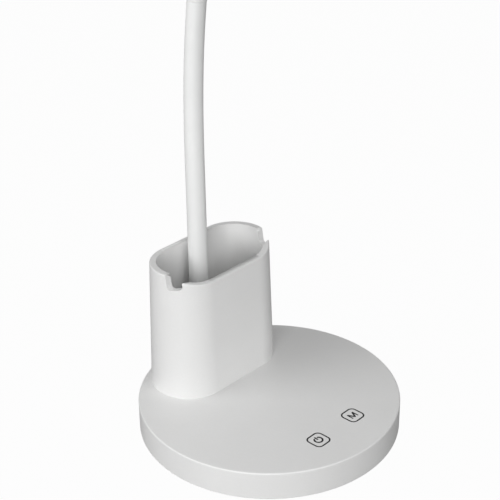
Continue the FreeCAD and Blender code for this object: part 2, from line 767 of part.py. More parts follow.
def head_shell(place):
    """The head's upper housing, with the stem's socket and the LED board's posts inside."""
    body = new_body("head_shell", place)
    outer = new_sketch(body, level="frame_top")
    head_outline(outer, "0")
    pad(body, outer, "head_thickness - frame_height")
    round_edges(body, "head_edge_round", flat_at("head_thickness / 2"))
    inner = new_sketch(body, level="frame_top")
    head_outline(inner, "shell_wall")
    pocket(body, inner, "shell_ceiling - frame_top", Reversed=True)
    cut_head_flat(body)
    socket = new_sketch(body, "XZ_Plane")
    circle(socket, "spigot_radius + spigot_play + socket_wall")
    pad(body, socket, "socket_length")
    posts = new_sketch(body, level="led_board_top")
    circles(posts, "led_post_radius", LED_POSTS)
    pad(body, posts, "led_post_height + shell_wall / 2")
    bore = new_sketch(body, "XZ_Plane")
    circle(bore, "spigot_radius + spigot_play")
    pocket(body, bore, "socket_length", Reversed=True)
    pilots = new_sketch(body, level="led_board_top")
    circles(pilots, "board_screw_radius + screw_play", LED_POSTS)
    pocket(body, pilots, "board_screw_grip", Reversed=True)


def head_frame(place):
    """The frame that closes the head from below and carries the diffuser on a ledge."""
    body = new_body("head_frame", place)
    outer = new_sketch(body, level="head_under")
    head_outline(outer, "0")
    pad(body, outer, "frame_height")
    round_edges(body, "frame_edge_round", flat_at("head_under"))
    lip = new_sketch(body, level="frame_top - frame_height / 2")
    head_outline(lip, "shell_wall + frame_lip_gap")
    pad(body, lip, "frame_lip_height + frame_height / 2")
    hollow = new_sketch(body, level="frame_top")
    head_outline(hollow, "shell_wall + frame_lip_gap + frame_lip_thickness")
    pocket(body, hollow, "frame_lip_height", Reversed=True)
    recess = new_sketch(body, level="frame_top - diffuser_thickness")
    head_outline(recess, "frame_border - frame_ledge")
    pocket(body, recess, "diffuser_thickness", Reversed=True)
    window = new_sketch(body, level="head_under")
    head_outline(window, "frame_border")
    pocket(body, window, "frame_height", Reversed=True)
    gate = new_sketch(body, level="frame_top")
    half_gate = "spigot_radius + spigot_play + socket_wall + moulding_gap"
    rectangle(gate, f"-({half_gate})", half_gate, "-head_width / 2", "0")
    pocket(body, gate, "frame_lip_height", Reversed=True)
    cut_head_flat(body)


def diffuser(place):
    """The opal panel that the light comes through."""
    body = new_body("diffuser", place)
    panel = new_sketch(body, level="frame_top - diffuser_thickness")
    head_outline(panel, "frame_border - frame_ledge + diffuser_play")
    pad(body, panel, "diffuser_thickness")


def led_board(place):
    """The aluminium board of the LEDs."""
    body = new_body("led_board", place)
    plate = new_sketch(body, level="led_board_top - led_board_thickness")
    rectangle(plate, "-led_board_width / 2", "led_board_width / 2",
              "head_middle - led_board_length / 2", "head_middle + led_board_length / 2")
    circles(plate, "board_screw_radius + screw_hole_gap", LED_POSTS)
    pad(body, plate, "led_board_thickness")


def leds(place):
    """The LEDs in their rows, facing down."""
    body = new_body("leds", place)
    chips = new_sketch(body, level="led_board_top - led_board_thickness - led_height")
    for row in range(LED_ROWS):
        x = f"led_row_spacing * {row - (LED_ROWS - 1) / 2}"
        for i in range(LEDS_PER_ROW):
            y = f"head_middle + led_pitch * {i - (LEDS_PER_ROW - 1) / 2}"
            rectangle(chips, f"{x} - led_width / 2", f"{x} + led_width / 2",
                      f"{y} - led_length / 2", f"{y} + led_length / 2")
    pad(body, chips, "led_height")


def retaining_ring(place):
    """The ring that holds the stem's spigot in the head's socket."""
    body = new_body("retaining_ring", place)
    ring = new_sketch(body, "XZ_Plane", "socket_length")
    circle(ring, "spigot_radius + spigot_play + retaining_ring_width")
    circle(ring, "spigot_radius + screw_play")
    pad(body, ring, "retaining_ring_thickness")


def head_lead(place):
    """The lead from the stem's bore to the LED board."""
    body = new_body("head_lead", place)
    wire = new_sketch(body, "XZ_Plane", "socket_length / 2")
    circle(wire, "wire_radius")
    pad(body, wire, "led_board_thickness - head_middle - led_board_length / 2 - socket_length / 2")


def build():
    """Make every sub-part."""
    base_cover()
    base_floor()
    foot_pad()
    ballast_plate()
    screws("base_screws", base_screw_places(), "well_top - well_roof", "screw_radius",
           "screw_length + well_roof - screw_play", "screw_head_radius", "screw_head_height")
    control_board()
    board_components()
    screws("board_screws", BOARD_SCREWS, "board_top - board_thickness", "board_screw_radius",
           "board_thickness + board_screw_grip", "board_screw_head_radius", "board_screw_head_height")
    touch_foams()
    power_inlet()
    power_inlet_pin()
    power_lead()
    neck_lead()
    cup()
    screws("cup_screws", CUP_SCREWS, "ceiling", "screw_radius", "cup_screw_length",
           "screw_head_radius", "screw_head_height")
    neck_post()
    post_sleeve()
    neck_washer()
    neck_nut()
    *links, stem = neck_places()
    for i, place in enumerate(links, start=1):
        neck_link(i, place)
    head_stem(stem)
    head = head_place(stem)
    head_shell(head)
    head_frame(head)
    diffuser(head)
    led_board(head)
    leds(head)
    screws("led_board_screws", LED_POSTS, "led_board_top - led_board_thickness", "board_screw_radius",
           "led_board_thickness + board_screw_grip - screw_play", "board_screw_head_radius",
           "board_screw_head_height", head)
    retaining_ring(head)
    head_lead(head)


def check_and_export():
    """See that every object was made and every sub-part is sound, then write the STEP files."""
    doc.recompute()
    for item in doc.Objects:
        if {"Invalid", "Error"} & set(item.State):
            raise ValueError(f"{item.Label} failed: {item.State}")
    bodies = [item for item in doc.Objects if item.TypeId == "PartDesign::Body"]
    for body in bodies:
        if body.Shape.isNull() or not body.Shape.isValid() or not body.Shape.Solids:
            raise ValueError(f"{body.Label} has no sound shape")
    os.makedirs("parts", exist_ok=True)
    for body in bodies:
        body.Shape.exportStep(f"parts/{body.Label}.step")
        print(f"{body.Label:20s} {len(body.Shape.Solids):3d} solids {body.Shape.Volume / 1000:9.3f} cm3")


build()
check_and_export()
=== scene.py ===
import json
import math

import bmesh
import bpy
import numpy as np
from mathutils import Matrix, Vector


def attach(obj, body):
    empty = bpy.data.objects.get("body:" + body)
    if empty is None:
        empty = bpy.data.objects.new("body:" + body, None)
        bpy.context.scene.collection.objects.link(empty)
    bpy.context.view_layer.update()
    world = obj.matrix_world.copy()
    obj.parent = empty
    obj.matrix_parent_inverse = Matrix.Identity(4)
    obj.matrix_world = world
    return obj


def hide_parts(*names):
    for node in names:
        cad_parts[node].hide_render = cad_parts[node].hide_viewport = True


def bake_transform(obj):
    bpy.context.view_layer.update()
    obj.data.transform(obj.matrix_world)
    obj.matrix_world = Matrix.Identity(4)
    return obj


# A desk lamp: a round weighted base with two printed touch buttons, a pen cup with a phone slot,
# a bendable neck in a soft sleeve and a flat oblong LED head.
# The joints' places are read from the frame and most sizes repeat those of its solids; this script gives the
# skins, the finishes and the light.

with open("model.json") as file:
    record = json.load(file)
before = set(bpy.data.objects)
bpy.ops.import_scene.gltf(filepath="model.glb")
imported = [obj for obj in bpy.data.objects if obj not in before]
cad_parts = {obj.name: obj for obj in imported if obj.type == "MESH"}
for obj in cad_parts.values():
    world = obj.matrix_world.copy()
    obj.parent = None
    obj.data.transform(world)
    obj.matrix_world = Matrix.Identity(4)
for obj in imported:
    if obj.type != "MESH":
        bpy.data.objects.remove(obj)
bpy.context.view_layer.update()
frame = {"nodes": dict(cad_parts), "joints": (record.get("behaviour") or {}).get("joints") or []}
nodes = frame["nodes"]

MM = 0.001

# Sizes in metres. POWER_RING_GAP is in degrees, to each side of the ring's top. SIDE_LOOP and CEILING_LOOP
# place rings of points that keep the shading flat beside a bend.
BASE_RADIUS = 77.0 * MM
BASE_TOP = 18.0 * MM
BASE_RIM_GAP = 0.8 * MM
BASE_WALL = 2.5 * MM
BASE_CEILING = 2.6 * MM
BASE_EDGE = 0.9 * MM
BASE_LOW_EDGE = 0.4 * MM
BASE_INNER_ROUND = 1.0 * MM
INLET_LEVEL = 7.9 * MM
INLET_HOLE = 4.2 * MM
INLET_FLARE = 0.9 * MM
INLET_FLARE_DEPTH = 0.4 * MM
INLET_CUT_IN = 6.0 * MM
INLET_CUT_OUT = 2.0 * MM
PAD_RADIUS = 70.0 * MM
PAD_HEIGHT = 1.4 * MM
PAD_EDGE = 0.5 * MM
POWER_MARK = np.array([-15.9, -51.7]) * MM
MODE_MARK = np.array([15.1, -51.0]) * MM
BUTTON_HALF_SIDE = 5.75 * MM
BUTTON_CORNER = 3.35 * MM
BUTTON_LINE = 0.9 * MM
POWER_RING = 2.35 * MM
POWER_RING_GAP = 25
POWER_BAR = np.array([0.2, 1.6, 3.2]) * MM
POWER_LINE = 1.05 * MM
LETTER_HALF_WIDTH = 2.6 * MM
LETTER_HALF_HEIGHT = 2.25 * MM
LETTER_LEG = 0.8 * MM
LETTER_SLANT = 1.0 * MM
INK_HEIGHT = 0.02 * MM
SLEEVE_FOOT = 20.5 * MM
SLEEVE_LEAD = 6.2 * MM
SLEEVE_GAP = 0.4 * MM
SLEEVE_RADIUS = 5.75 * MM
SLEEVE_THINNING = 0.4 * MM
STEM_RADIUS = 6.3 * MM
COLLAR_RADIUS = 5.6 * MM
STEM_FOOT = 4.8 * MM
STEM_FOOT_ROUND = 0.5 * MM
STEM_STRAIGHT = 10.0 * MM
STEM_BEND = 55.0 * MM
HEAD_DIP = math.radians(2.5)
HEAD_LENGTH = 110.0 * MM
HEAD_WIDTH = 46.0 * MM
HEAD_THICKNESS = 13.0 * MM
HEAD_EDGE = 4.0 * MM
HEAD_WALL = 2.0 * MM
HEAD_CROWN = 0.35 * MM
SEAM_ROUND = 0.25 * MM
SEAM_GAP = 0.06 * MM
SEAM_DROP = 0.3 * MM
SIDE_LOOP = 2.0 * MM
CEILING_LOOP = 14.0 * MM
FRAME_HEIGHT = 2.4 * MM
FRAME_BORDER = 4.5 * MM
FRAME_EDGE = 0.8 * MM
WINDOW_BEVEL = 0.4 * MM
WINDOW_LEDGE = 1.0 * MM
DIFFUSER_THICKNESS = 1.4 * MM
PANEL_PLAY = 0.1 * MM
PANEL_DOME = 0.3 * MM

# Points round a ring and rings along a tube
BASE_STEPS = 256
PAD_STEPS = 192
HOLE_STEPS = 48
SLEEVE_STEPS = 64
STEM_STEPS = 72
SLEEVE_RINGS = 17
SLEEVE_FOOT_RINGS = 24
STEM_RINGS = 60

# The stage: metres, degrees, watts and shares of white, and the camera's lens and film in millimetres
FLOOR_REACH = 4.0
FLOOR_SHADE = 0.30
FLOOR_GLOW = 0.975
SURROUND = 0.25
LAMPS = (
    # name, place, height it faces, side, power
    ("front", (0.0, -0.74, 0.60), 0.08, 0.5, 1.9),
    ("side", (-0.75, -0.44, 0.31), 0.08, 0.5, 4.4),
    ("back", (-0.64, 0.37, 0.60), 0.08, 0.5, 2.8),
    ("fill", (0.90, 0.05, 0.22), 0.10, 0.6, 0.5),
)
CAMERA_PLACE = (-0.45677, -0.41847, 0.44225)
CAMERA_ANGLES = (-46.5547, 27.9637, -0.713)
CAMERA_LENS = 90.92
CAMERA_SENSOR = 36.0


# Shapes

def grid_faces(rows, columns, wrap_rows=False):
    """Quads between neighbouring points of a grid. Its columns close to a ring, and its rows do if asked."""
    row, column = np.meshgrid(np.arange(rows if wrap_rows else rows - 1), np.arange(columns), indexing="ij")
    above, beside = (row + 1) % rows, (column + 1) % columns
    corners = (row * columns + column, row * columns + beside,
               above * columns + beside, above * columns + column)
    return np.stack(corners, -1).reshape(-1, 4)


def make_piece(name, points, faces, finish, body=None, stands_for=()):
    """A piece from points and faces: doubles merged, faces turned outwards, smooth but for sharp edges."""
    mesh = bpy.data.meshes.new(name)
    mesh.from_pydata(np.asarray(points, float).reshape(-1, 3), [], [list(face) for face in faces])
    obj = bpy.data.objects.new(name, mesh)
    bpy.context.scene.collection.objects.link(obj)
    clean(mesh, recalculate=True)
    dress(obj, finish, body, stands_for)
    return obj


def clean(mesh, recalculate):
    """Merge points that coincide, drop faces without area and, where asked, turn the faces outwards."""
    work = bmesh.new()
    work.from_mesh(mesh)
    bmesh.ops.remove_doubles(work, verts=work.verts, dist=1e-6)
    bmesh.ops.dissolve_degenerate(work, edges=work.edges, dist=1e-7)
    if recalculate:
        bmesh.ops.recalc_face_normals(work, faces=work.faces)
    work.to_mesh(mesh)
    work.free()


def dress(obj, finish, body, stands_for, sharp=35):
    """Give a piece its shading and finish, the body it rides on and the nodes it stands for."""
    obj.data.shade_smooth()
    obj.data.set_sharp_from_angle(angle=math.radians(sharp))
    obj.data.materials.clear()
    obj.data.materials.append(finish)
    weighted = obj.modifiers.new("even_shading", "WEIGHTED_NORMAL")
    weighted.keep_sharp = True
    if body:
        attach(obj, body)
    if stands_for:
        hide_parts(*stands_for)


def turned(profile, steps):
    """A profile of (radius, height) points turned about Z: a row to each point, a column to each angle."""
    radius, height = np.asarray(profile, float).T
    angle = np.linspace(0, 2 * math.pi, steps, endpoint=False)
    return np.stack([radius[:, None] * np.cos(angle), radius[:, None] * np.sin(angle),
                     np.broadcast_to(height[:, None], (len(radius), steps))], -1)


def arc(centre, radius, start, end, steps=9):
    """Points on a circular arc in a plane, from one angle to another, in degrees."""
    angle = np.radians(np.linspace(start, end, steps))
    return [(centre[0] + radius * math.cos(a), centre[1] + radius * math.sin(a)) for a in angle]


def oblong(half_length, half_width, steps=48):
    """A closed outline about the origin: two straight sides along Y joined by half circles of half_width."""
    reach = half_length - half_width
    angle = np.linspace(0, math.pi, steps)
    far = np.stack([half_width * np.cos(angle), reach + half_width * np.sin(angle)], -1)
    return np.concatenate([far, -far])


def rounded_square(half_side, corner, steps=10):
    """A closed outline with round corners about the origin: one corner's arc turned three times."""
    quarter = np.linspace(0, math.pi / 2, steps)
    reach = half_side - corner
    arms = [np.stack([reach + corner * np.cos(quarter), reach + corner * np.sin(quarter)], -1)]
    for _ in range(3):
        last = arms[-1]
        arms.append(np.stack([-last[:, 1], last[:, 0]], -1))
    return np.concatenate(arms)


def tube(middle, along, radius, steps):
    """Rings round a middle line in the YZ plane: each is a circle of its own radius, square to the line."""
    middle, along = np.asarray(middle, float), np.asarray(along, float)
    along = along / np.linalg.norm(along, axis=1)[:, None]
    side = np.array([1.0, 0, 0])
    front = np.cross(along, side)
    angle = np.linspace(0, 2 * math.pi, steps, endpoint=False)
    radius = np.broadcast_to(radius, len(middle))
    ring = np.cos(angle)[None, :, None] * side + np.sin(angle)[None, :, None] * front[:, None, :]
    return middle[:, None, :] + radius[:, None, None] * ring


def closed_faces(rows, columns):
    """The faces of a wall of rings and of its two flat ends."""
    ends = [list(range(columns)), [(rows - 1) * columns + i for i in range(columns)]]
    return grid_faces(rows, columns).tolist() + ends


# Finishes

class Value:
    """A number that varies over a surface. Its arithmetic adds Math nodes."""

    def __init__(self, tree, socket):
        self.tree = tree
        self.socket = socket

    def math(self, operation, *inputs):
        node = self.tree.nodes.new("ShaderNodeMath")
        node.operation = operation
        for place, item in enumerate(inputs):
            if isinstance(item, Value):
                self.tree.links.new(item.socket, node.inputs[place])
            else:
                node.inputs[place].default_value = item
        return Value(self.tree, node.outputs[0])

    def __add__(self, other):
        return self.math("ADD", self, other)

    __radd__ = __add__

    def __mul__(self, other):
        return self.math("MULTIPLY", self, other)

    __rmul__ = __mul__

    def __sub__(self, other):
        return self.math("SUBTRACT", self, other)

    def __rsub__(self, other):
        return self.math("SUBTRACT", other, self)


class Finish:
    """A material made of nodes round one Principled shader."""

    def __init__(self, name, **constants):
        self.material = bpy.data.materials.new(name)
        self.material.use_nodes = True
        self.tree = self.material.node_tree
        self.shader = self.tree.nodes["Principled BSDF"]
        for socket, value in constants.items():
            self.shader.inputs[socket.replace("_", " ")].default_value = value
        self.place = self.node("ShaderNodeTexCoord").outputs["Object"]

    def node(self, kind, inputs=None, **settings):
        """Add a node: its settings first, then the values or links of its sockets."""
        made = self.tree.nodes.new(kind)
        for setting, value in settings.items():
            setattr(made, setting, value)
        for socket, value in (inputs or {}).items():
            if isinstance(value, Value):
                value = value.socket
            if isinstance(value, bpy.types.NodeSocket):
                self.tree.links.new(value, made.inputs[socket])
            else:
                made.inputs[socket].default_value = value
        return made

    def stretched(self, scale):
        """The object's coordinates, scaled apart along X, Y and Z."""
        return self.node("ShaderNodeMapping", {"Vector": self.place, "Scale": scale}).outputs[0]

    def noise(self, scale, detail=2.0, place=None):
        """Cloudy noise between about 0.3 and 0.7, its grain 1 / scale metres."""
        made = self.node("ShaderNodeTexNoise",
                         {"Vector": place or self.place, "Scale": scale, "Detail": detail, "Roughness": 0.5})
        return Value(self.tree, made.outputs[0])

    def cells(self, scale):
        """The distance to the nearest of scattered points, for pores and pebbled grain."""
        made = self.node("ShaderNodeTexVoronoi", {"Vector": self.place, "Scale": scale})
        return Value(self.tree, made.outputs[0])

    def tint(self, noise, low, high):
        """Colour the surface from the first colour to the second as a noise goes from 0.3 to 0.7."""
        self.set("Base Color", self.blend((noise - 0.3) * 2.5, low, high))

    def blend(self, share, first, second):
        """A colour that passes from the first to the second as share goes from 0 to 1."""
        made = self.node("ShaderNodeMix", {0: share, 6: first, 7: second},
                         data_type="RGBA", clamp_factor=True)
        return made.outputs[2]

    def set(self, socket, value):
        """Feed a shader socket."""
        self.tree.links.new(value.socket if isinstance(value, Value) else value, self.shader.inputs[socket])

    def bump(self, height, distance, strength):
        """Raise the surface by a height between 0 and 1 times a distance in metres."""
        made = self.node("ShaderNodeBump", {"Height": height, "Distance": distance, "Strength": strength})
        self.set("Normal", made.outputs[0])


def shade(colour, factor):
    """A colour made lighter or darker, with alpha."""
    return tuple(min(1.0, channel * factor) for channel in colour) + (1.0,)


def moulded_plastic(name, colour, roughness=0.42, grain=1700.0):
    """Satin moulded plastic: spark-eroded grain, faint flow clouding and slightly uneven gloss."""
    finish = Finish(name, IOR=1.5)
    cloud = finish.noise(26.0, 3.0)
    speckle = finish.noise(grain * 0.6, 1.0)
    finish.tint(cloud * 0.7 + speckle * 0.3, shade(colour, 0.975), shade(colour, 1.02))
    finish.set("Roughness", finish.noise(90.0) * 0.10 + finish.cells(grain) * 0.08 + (roughness - 0.08))
    pits = finish.cells(grain) * 0.6 + finish.noise(grain * 1.7) * 0.4
    finish.bump(pits, 0.012 * MM, 0.6)
    return finish.material


def soft_sleeve(name, colour):
    """Silicone: matt, with a very fine orange skin and a faint drawn grain along its length."""
    finish = Finish(name, IOR=1.43)
    finish.tint(finish.noise(40.0, 1.9), shade(colour, 0.98), shade(colour, 1.015))
    finish.set("Roughness", finish.noise(160.0) * 0.12 + 0.46)
    drawn = finish.noise(900.0, place=finish.stretched((1.0, 1.0, 0.08)))
    finish.bump(drawn * 0.5 + finish.noise(2400.0) * 0.5, 0.010 * MM, 0.5)
    return finish.material


def opal_plastic(name, colour):
    """Opal diffuser: milky, with a fine light-spreading pebble."""
    finish = Finish(name, IOR=1.49)
    finish.tint(finish.noise(60.0), shade(colour, 0.985), shade(colour, 1.0))
    finish.set("Roughness", finish.cells(1400.0) * 0.12 + 0.30)
    finish.bump(finish.cells(1400.0), 0.02 * MM, 0.6)
    return finish.material


def cellular_rubber(name, colour, cell=900.0):
    """Closed-cell foam or rubber: open pores in a matt skin."""
    finish = Finish(name, IOR=1.45)
    pores = finish.cells(cell)
    # The pores are painted darker than the skin between them: painted shade in the pores, where the bump also
    # sinks them.
    finish.set("Base Color", finish.blend(pores * 1.2, shade(colour, 0.6), shade(colour, 1.25)))
    finish.set("Roughness", finish.noise(300.0) * 0.15 + 0.75)
    finish.bump(pores, 0.06 * MM, 0.8)
    return finish.material


def plated_metal(name, colour, roughness=0.3, along=(1.0, 1.0, 0.05)):
    """Plated or drawn metal: fine lines along one way and slightly blotched plating."""
    finish = Finish(name, Metallic=1.0)
    lines = finish.noise(1500.0, place=finish.stretched(along))
    finish.tint(finish.noise(120.0), shade(colour, 0.9), shade(colour, 1.05))
    finish.set("Roughness", lines * 0.2 + (roughness - 0.1))
    finish.bump(lines, 0.01 * MM, 0.5)
    return finish.material


def lacquered_board(name, colour, copper):
    """Circuit board: lacquer over faint copper runs."""
    finish = Finish(name, IOR=1.5, Coat_Roughness=0.15)
    runs = finish.node("ShaderNodeTexBrick",
                       {"Vector": finish.place, "Scale": 260.0, "Mortar Size": 0.02, "Color1": (0, 0, 0, 1),
                        "Color2": (0, 0, 0, 1), "Mortar": (1, 1, 1, 1)}, offset=0.5)
    lines = Value(finish.tree, runs.outputs[1])
    finish.set("Base Color", finish.blend(lines, shade(colour, 1.0), shade(copper, 1.0)))
    finish.set("Roughness", finish.noise(200.0) * 0.1 + 0.25)
    finish.bump(lines * 0.8 + finish.noise(700.0) * 0.2, 0.02 * MM, 0.6)
    return finish.material


def printed_ink(name, colour):
    """Pad-printed ink: matt, a little uneven in cover."""
    finish = Finish(name, IOR=1.45)
    cover = finish.noise(2600.0, 1.9)
    finish.tint(cover, shade(colour, 0.7), shade(colour, 1.5))
    finish.set("Roughness", finish.noise(900.0) * 0.2 + 0.5)
    finish.bump(cover, 0.004 * MM, 0.5)
    return finish.material


housing = moulded_plastic("housing_white", (0.80, 0.80, 0.795))
stem_plastic = moulded_plastic("stem_white", (0.86, 0.86, 0.855))
sleeve_skin = soft_sleeve("sleeve_white", (0.86, 0.865, 0.86))
opal = opal_plastic("diffuser_opal", (0.90, 0.90, 0.87))
foot_foam = cellular_rubber("foot_grey", (0.05, 0.05, 0.052))
black_foam = cellular_rubber("foam_black", (0.015, 0.015, 0.015), 1500.0)
steel = plated_metal("zinc_steel", (0.56, 0.57, 0.58))
disc_steel = plated_metal("ballast_steel", (0.42, 0.42, 0.43), 0.45, (1.0, 0.05, 1.0))
brass = plated_metal("contact_brass", (0.72, 0.56, 0.28), 0.25, (1.0, 0.05, 1.0))
board_lacquer = lacquered_board("board_green", (0.02, 0.09, 0.04), (0.06, 0.20, 0.07))
white_board = lacquered_board("led_board_white", (0.78, 0.78, 0.77), (0.62, 0.62, 0.60))
chip_plastic = moulded_plastic("chip_black", (0.02, 0.02, 0.021), 0.5)
inlet_plastic = moulded_plastic("inlet_black", (0.018, 0.018, 0.019), 0.35, 1200.0)
jacket = soft_sleeve("lead_jacket", (0.62, 0.61, 0.59))
phosphor = opal_plastic("led_yellow", (0.80, 0.62, 0.16))
ink = printed_ink("mark_ink", (0.006, 0.006, 0.0065))

NODE_FINISHES = {
    "base_cover": housing, "base_floor": housing, "foot_pad": foot_foam, "ballast_plate": disc_steel,
    "base_screws": steel, "control_board": board_lacquer, "board_components": chip_plastic,
    "board_screws": steel, "touch_foams": black_foam, "power_inlet": inlet_plastic, "power_inlet_pin": brass,
    "power_lead": jacket, "neck_lead": jacket, "cup": housing, "cup_screws": steel, "neck_post": steel,
    "post_sleeve": sleeve_skin, "neck_washer": steel, "neck_nut": steel, "head_stem": housing,
    "head_shell": housing, "head_frame": housing, "diffuser": opal, "led_board": white_board,
    "leds": phosphor, "led_board_screws": steel, "retaining_ring": steel, "head_lead": jacket,
}
for name, node in nodes.items():
    node.data.materials.clear()
    node.data.materials.append(NODE_FINISHES.get(name, steel))


def smoothed_copy(node, name, finish, body):
    """A copy of a solid's triangles that stands for it, with points merged and round faces shaded round."""
    mesh = nodes[node].data.copy()
    mesh.name = name
    obj = bpy.data.objects.new(name, mesh)
    bpy.context.scene.collection.objects.link(obj)
    clean(mesh, recalculate=False)
    dress(obj, finish, body, [node], sharp=25)
    return obj


# Base

def base_shell():
    """The cover: wall, rounded rim, flat top and the inside of the shell, turned about the middle."""
    inside = BASE_RADIUS - BASE_WALL
    ceiling = BASE_TOP - BASE_CEILING
    inner_corner = (inside - BASE_INNER_ROUND, ceiling - BASE_INNER_ROUND)
    low_corner = (BASE_RADIUS - BASE_LOW_EDGE, BASE_RIM_GAP + BASE_LOW_EDGE)
    top_corner = (BASE_RADIUS - BASE_EDGE, BASE_TOP - BASE_EDGE)
    profile = [(0, ceiling), (inside * 0.5, ceiling), (inner_corner[0], ceiling)]
    profile += arc(inner_corner, BASE_INNER_ROUND, 90, 0, 5)
    profile += [(inside, BASE_RIM_GAP)]
    profile += arc(low_corner, BASE_LOW_EDGE, -90, 0, 5)
    profile += [(BASE_RADIUS, BASE_TOP * share) for share in (0.35, 0.65)]
    profile += arc(top_corner, BASE_EDGE, 0, 90, 12)
    profile += [(BASE_RADIUS * share, BASE_TOP) for share in (0.97, 0.8, 0.55, 0.3, 0.1, 0)]
    rows = turned(profile, BASE_STEPS)
    cover = make_piece("base_shell", rows, grid_faces(*rows.shape[:2]), housing, "base",
                       ["base_cover"])
    cut(cover, inlet_cutter())


def inlet_cutter():
    """A plug along Y, a little wider at the base's outer face, that opens the hole for the power inlet."""
    face = BASE_RADIUS - INLET_HOLE ** 2 / (2 * BASE_RADIUS)
    deep, flare, out = face - INLET_CUT_IN, face - INLET_FLARE_DEPTH, face + INLET_CUT_OUT
    wide = INLET_HOLE + INLET_FLARE
    profile = [(0, deep), (INLET_HOLE, deep), (INLET_HOLE, flare),
               (wide, flare + INLET_FLARE), (wide, out), (0, out)]
    rows = turned(profile, HOLE_STEPS)
    rows = np.stack([rows[..., 0], rows[..., 2], INLET_LEVEL - rows[..., 1]], -1)
    return make_piece("inlet_cutter", rows, grid_faces(*rows.shape[:2]), housing)


def cut(obj, cutter):
    """Take the cutter's shape out of a piece for good."""
    hole = obj.modifiers.new("hole", "BOOLEAN")
    hole.operation = "DIFFERENCE"
    hole.solver = "EXACT"
    hole.object = cutter
    obj.modifiers.move(len(obj.modifiers) - 1, 0)
    bpy.context.view_layer.update()
    shaped = bpy.data.meshes.new_from_object(obj.evaluated_get(bpy.context.evaluated_depsgraph_get()))
    obj.modifiers.remove(hole)
    obj.data = shaped
    obj.data.set_sharp_from_angle(angle=math.radians(30))
    bpy.data.objects.remove(cutter)


def foot():
    """The foot pad: a flat foam disc with a soft lower edge."""
    profile = [(0, 0), (PAD_RADIUS * 0.5, 0)]
    profile += arc((PAD_RADIUS - PAD_EDGE, PAD_EDGE), PAD_EDGE, -90, 0, 6)
    profile += [(PAD_RADIUS, PAD_HEIGHT), (0, PAD_HEIGHT)]
    rows = turned(profile, PAD_STEPS)
    make_piece("foam_foot", rows, grid_faces(*rows.shape[:2]), foot_foam, "base", ["foot_pad"])


# Printed marks on the two touch buttons

def printed_band(outer, inner):
    """A thin closed band between two outlines of equal length, standing a hair above the base's top."""
    low, high = BASE_TOP - INK_HEIGHT, BASE_TOP + INK_HEIGHT
    rows = [np.column_stack([line, np.full(len(line), level)])
            for line, level in ((outer, low), (outer, high), (inner, high), (inner, low))]
    return np.stack(rows), grid_faces(4, len(outer), wrap_rows=True).tolist()


def stroke(path, width):
    """The two sides of a stroke along a path of points: half its width to each side of the path, less near an
    end, where the sides follow a half circle. Both run from its start to its end."""
    path = np.asarray(path, float)
    step = np.linalg.norm(np.diff(path, axis=0), axis=1)
    run = np.concatenate([[0], np.cumsum(step)])
    half = width / 2
    ends = half * np.sin(np.linspace(0, math.pi / 2, 8)) ** 2
    spots = np.unique(np.concatenate([ends, run[(run > half) & (run < run[-1] - half)], run[-1] - ends]))
    line = np.stack([np.interp(spots, run, path[:, axis]) for axis in (0, 1)], -1)
    along = np.gradient(line, spots, axis=0)
    along /= np.linalg.norm(along, axis=1)[:, None]
    across = np.stack([-along[:, 1], along[:, 0]], -1)
    from_end = np.minimum(spots, run[-1] - spots)
    reach = np.sqrt(np.maximum(half ** 2 - np.maximum(half - from_end, 0) ** 2, 0))[:, None]
    return line + across * reach, line - across * reach


def button_marks():
    """A thin rounded frame round each button, a power sign in one and a mode letter in the other."""
    sets = []
    for middle in (POWER_MARK, MODE_MARK):
        outer = rounded_square(BUTTON_HALF_SIDE, BUTTON_CORNER) + middle
        inner = rounded_square(BUTTON_HALF_SIDE - BUTTON_LINE, BUTTON_CORNER - BUTTON_LINE) + middle
        sets.append(printed_band(outer, inner))
    sweep = np.radians(np.linspace(90 + POWER_RING_GAP, 450 - POWER_RING_GAP, 60))
    ring = POWER_RING * np.stack([np.cos(sweep), np.sin(sweep)], -1) + POWER_MARK
    bar = np.stack([0 * POWER_BAR, POWER_BAR], -1) + POWER_MARK
    for path in (ring, bar):
        sets.append(printed_band(*stroke(path, POWER_LINE)))
    sets.append(letter(MODE_MARK))
    points, faces, first = [], [], 0
    for part, part_faces in sets:
        flat = part.reshape(-1, 3)
        points.append(flat)
        faces += [[first + i for i in face] for face in part_faces]
        first += len(flat)
    make_piece("button_marks", np.concatenate(points), faces, ink, "base")


def letter(middle):
    """The letter M as one thin flat plate with straight strokes."""
    edge, top, inner = LETTER_HALF_WIDTH, LETTER_HALF_HEIGHT, LETTER_HALF_WIDTH - LETTER_LEG
    foot, armpit, valley = 0.45 * LETTER_LEG, 1.9 * LETTER_SLANT, 1.55 * LETTER_SLANT
    right = [(0, -top), (foot, -top), (inner, top - armpit), (inner, -top), (edge, -top), (edge, top),
             (edge - LETTER_SLANT, top), (0, valley - top)]
    left = [(-x, y) for x, y in reversed(right[1:-1])]
    line = np.array(right + left) + middle
    rows = np.stack([np.column_stack([line, np.full(len(line), level)])
                     for level in (BASE_TOP - INK_HEIGHT, BASE_TOP + INK_HEIGHT)])
    return rows, closed_faces(*rows.shape[:2])


# Neck

joints = frame["joints"]
pivots = [Vector(joint["pos_m"]) for joint in joints]
links = [joint["child"] for joint in joints]


